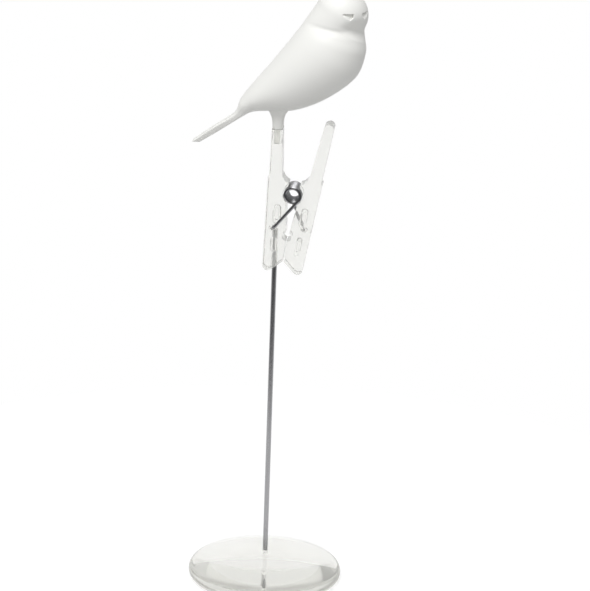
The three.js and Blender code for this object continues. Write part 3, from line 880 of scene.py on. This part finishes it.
# A material whose colour, roughness and relief vary by noise, with its nodes and its output
def surface(name, inputs, tints, rough, grains, relief, stretch=EVEN, relief_detail=NOISE_DETAIL):
    material = bpy.data.materials.new(name)
    material.use_nodes = True
    tree = material.node_tree
    tree.nodes.clear()
    shader = add_node(tree, "ShaderNodeBsdfPrincipled", inputs=inputs)
    output = add_node(tree, "ShaderNodeOutputMaterial")
    tree.links.new(shader.outputs[0], output.inputs["Surface"])
    tint_scale, rough_scale, relief_scale = grains
    tree.links.new(tinted(tree, grain(tree, tint_scale, stretch), tints), shader.inputs["Base Color"])
    roughness = ramp(tree, grain(tree, rough_scale, stretch), NOISE_SPAN, rough, smooth_ends=False)
    tree.links.new(roughness, shader.inputs["Roughness"])
    bump = add_node(tree, "ShaderNodeBump", inputs={"Strength": relief[0], "Distance": relief[1]})
    tree.links.new(grain(tree, relief_scale, stretch, relief_detail), bump.inputs["Height"])
    tree.links.new(bump.outputs[0], shader.inputs["Normal"])
    return material, tree, output


# Clear plastic, with a share of light that its milkiness scatters
def clear_plastic(name, clear, rough, density):
    inputs = {"Transmission Weight": clear, "IOR": CLEAR_IOR}
    material, tree, output = surface(
        name, inputs, CLEAR_TINTS, rough, CLEAR_GRAINS, CLEAR_RELIEF, relief_detail=CLEAR_RELIEF_DETAIL
    )
    inputs = {"Color": CLEAR_ABSORBS, "Density": density}
    absorb = add_node(tree, "ShaderNodeVolumeAbsorption", inputs=inputs)
    tree.links.new(absorb.outputs[0], output.inputs["Volume"])
    return material


def white_plastic(name):
    return surface(name, {"IOR": WHITE_IOR}, WHITE_TINTS, WHITE_ROUGH, WHITE_GRAINS, WHITE_RELIEF)[0]


def steel(name, tints, rough, stretch):
    return surface(name, {"Metallic": 1}, tints, rough, STEEL_GRAINS, STEEL_RELIEF, stretch)[0]


# Stage

# The floor's white paper: matt, with a glow that depends on what it is seen through, and a painted shadow of
# the base's rim in the glow seen through the base
def paper():
    material = bpy.data.materials.new("paper")
    material.use_nodes = True
    tree = material.node_tree
    tree.nodes.clear()
    path = add_node(tree, "ShaderNodeLightPath").outputs
    place = add_node(tree, "ShaderNodeNewGeometry").outputs["Position"]
    seen = calc(tree, "ADD", path["Is Camera Ray"], path["Is Glossy Ray"], clamp=True)
    openly = calc(tree, "MULTIPLY", seen, PAPER_GLOW)

    # Painted shadow: a ring under the base's rim, behind the base, where the glow seen through the base drops
    far = add_node(tree, "ShaderNodeVectorMath", {"operation": "LENGTH"})
    tree.links.new(place, far.inputs[0])
    away = calc(tree, "ABSOLUTE", calc(tree, "SUBTRACT", far.outputs["Value"], PAINTED_RIM_SHADOW_RADIUS * MM))
    rim = ramp(tree, away, (0, PAINTED_RIM_SHADOW_WIDTH * MM), (PAINTED_RIM_SHADOW_GLOW, UNDER_GLOW))
    axes = add_node(tree, "ShaderNodeSeparateXYZ")
    tree.links.new(place, axes.inputs[0])
    behind = ramp(tree, axes.outputs["Y"], [y * MM for y in PAINTED_RIM_SHADOW_BEHIND])
    under = mixed(tree, behind, UNDER_GLOW, rim)

    matt = add_node(tree, "ShaderNodeBsdfDiffuse", inputs={"Color": PAPER_GREY})
    glow = add_node(tree, "ShaderNodeEmission", inputs={"Color": PURE_WHITE})
    tree.links.new(mixed(tree, path["Is Transmission Ray"], openly, under), glow.inputs["Strength"])
    both = add_node(tree, "ShaderNodeAddShader")
    tree.links.new(matt.outputs[0], both.inputs[0])
    tree.links.new(glow.outputs[0], both.inputs[1])
    output = add_node(tree, "ShaderNodeOutputMaterial")
    tree.links.new(both.outputs[0], output.inputs["Surface"])
    return material


def lay_floor():
    turns = [2 * math.pi * j / FLOOR_SIDES for j in range(FLOOR_SIDES)]
    ring = [(FLOOR_RADIUS * math.cos(t), FLOOR_RADIUS * math.sin(t), -FLOOR_DROP) for t in turns]
    floor = mesh_object("floor", ring, [tuple(range(FLOOR_SIDES))])
    floor.data.materials.append(paper())


def surroundings():
    world = bpy.data.worlds.new("studio")
    bpy.context.scene.world = world
    world.use_nodes = True
    tree = world.node_tree
    tree.nodes.clear()
    path = add_node(tree, "ShaderNodeLightPath").outputs
    place = add_node(tree, "ShaderNodeTexCoord")
    axes = add_node(tree, "ShaderNodeSeparateXYZ")
    tree.links.new(place.outputs["Generated"], axes.inputs[0])
    x, y, z = axes.outputs

    # Matt pieces: an even sky, with a soft panel in front and one behind
    sky = mixed(tree, ramp(tree, y, FRONT_SPAN, (1, 0)), SKY, FRONT_PANEL)
    sky = mixed(tree, ramp(tree, y, BACK_SPAN), sky, BACK_PANEL)
    # Clear pieces: a bright backdrop behind, and darker sides
    sides = ramp(tree, x, SIDE_SPAN, SIDE_LEVELS)
    backdrop = ramp(tree, z, BACKDROP_SPAN, BACKDROP_LEVELS)
    backdrop = mixed(tree, ramp(tree, y, BACKDROP_START), sides, backdrop)
    # What lies inside a clear piece is lit through it, also for the key lamp, whose light the piece stops
    backdrop = mixed(tree, path["Diffuse Depth"], backdrop, COVERED)
    mirrored = mixed(tree, path["Is Glossy Ray"], sky, ramp(tree, y, MIRROR_SPAN, MIRROR_LEVELS))
    through = mixed(tree, path["Is Transmission Ray"], mirrored, backdrop)
    shown = add_node(tree, "ShaderNodeBackground", inputs={"Color": PURE_WHITE})
    tree.links.new(mixed(tree, path["Is Camera Ray"], through, 1), shown.inputs["Strength"])
    output = add_node(tree, "ShaderNodeOutputWorld")
    tree.links.new(shown.outputs[0], output.inputs["Surface"])


def key_lamp():
    lamp = bpy.data.lights.new("key", "AREA")
    lamp.shape = "DISK"
    lamp.size = KEY_SIZE
    lamp.energy = KEY_WATTS
    key = bpy.data.objects.new("key", lamp)
    key.location = KEY_AT
    key.rotation_euler = (Vector(KEY_AIM) - Vector(KEY_AT)).to_track_quat("-Z", "Y").to_euler()
    key.visible_camera = False
    key.visible_transmission = False
    bpy.context.scene.collection.objects.link(key)


def camera():
    lens = bpy.data.cameras.new("camera")
    lens.sensor_fit = "HORIZONTAL"
    lens.sensor_width = SENSOR_WIDTH
    lens.lens = FOCAL_PIXELS / IMAGE_WIDTH * SENSOR_WIDTH
    ahead = (Vector(CAMERA_AIM) - Vector(CAMERA_AT)).normalized()
    right = ahead.cross(Vector((0, 0, 1))).normalized()
    up = right.cross(ahead)
    turned = right * math.cos(CAMERA_ROLL) + up * math.sin(CAMERA_ROLL)
    upright = up * math.cos(CAMERA_ROLL) - right * math.sin(CAMERA_ROLL)
    view = bpy.data.objects.new("camera", lens)
    turning = Matrix((turned, upright, -ahead)).transposed().to_4x4()
    view.matrix_world = Matrix.Translation(Vector(CAMERA_AT) * MM) @ turning
    bpy.context.scene.collection.objects.link(view)
    bpy.context.scene.camera = view


def dress(obj, node, body, material, angle=None):
    if angle:
        smooth(obj, angle)
    obj.data.materials.clear()
    obj.data.materials.append(material)
    if body:
        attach(obj, body)
    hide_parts(node)


camera()
lay_floor()
surroundings()
key_lamp()

acrylic = clear_plastic("clear_acrylic", **ACRYLIC)
moulded = clear_plastic("clear_moulded", **MOULDED)
white = white_plastic("white_satin")
rod_steel = steel("drawn_steel", ROD_TINTS, ROD_ROUGH, ROD_STRETCH)
spring_steel = steel("spring_wire", WIRE_TINTS, WIRE_ROUGH, EVEN)

disc = mesh_object("disc", *lathe(base_profile(), BASE_SIDES))
dress(disc, "base_disc", "stand", acrylic, SHARP_ANGLE)
rod = mesh_object("rod", *lathe(rod_profile(), ROD_SIDES))
dress(rod, "stem_rod", "stand", rod_steel, SHARP_ANGLE)
dress(rear_lever(), "rear_lever", "stand", moulded, SHARP_ANGLE)
dress(front_lever(), "front_lever", "lever", moulded, SHARP_ANGLE)

spring = mesh_object("spring", *wire([CLIP @ p for p in spring_path()], WIRE_DIAMETER / 2))
dress(spring, "torsion_spring", None, spring_steel, WIRE_SHARP_ANGLE)
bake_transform(spring)

right_half, left_half = bird_halves()
dress(right_half, "bird_right_half", "stand", white)
dress(left_half, "bird_left_half", "stand", white)

bpy.context.scene.view_settings.view_transform = "Standard"
bpy.context.scene.cycles.max_bounces = MAX_BOUNCES
bpy.context.scene.cycles.glossy_bounces = GLOSSY_BOUNCES
bpy.context.scene.cycles.transmission_bounces = TRANSMISSION_BOUNCES
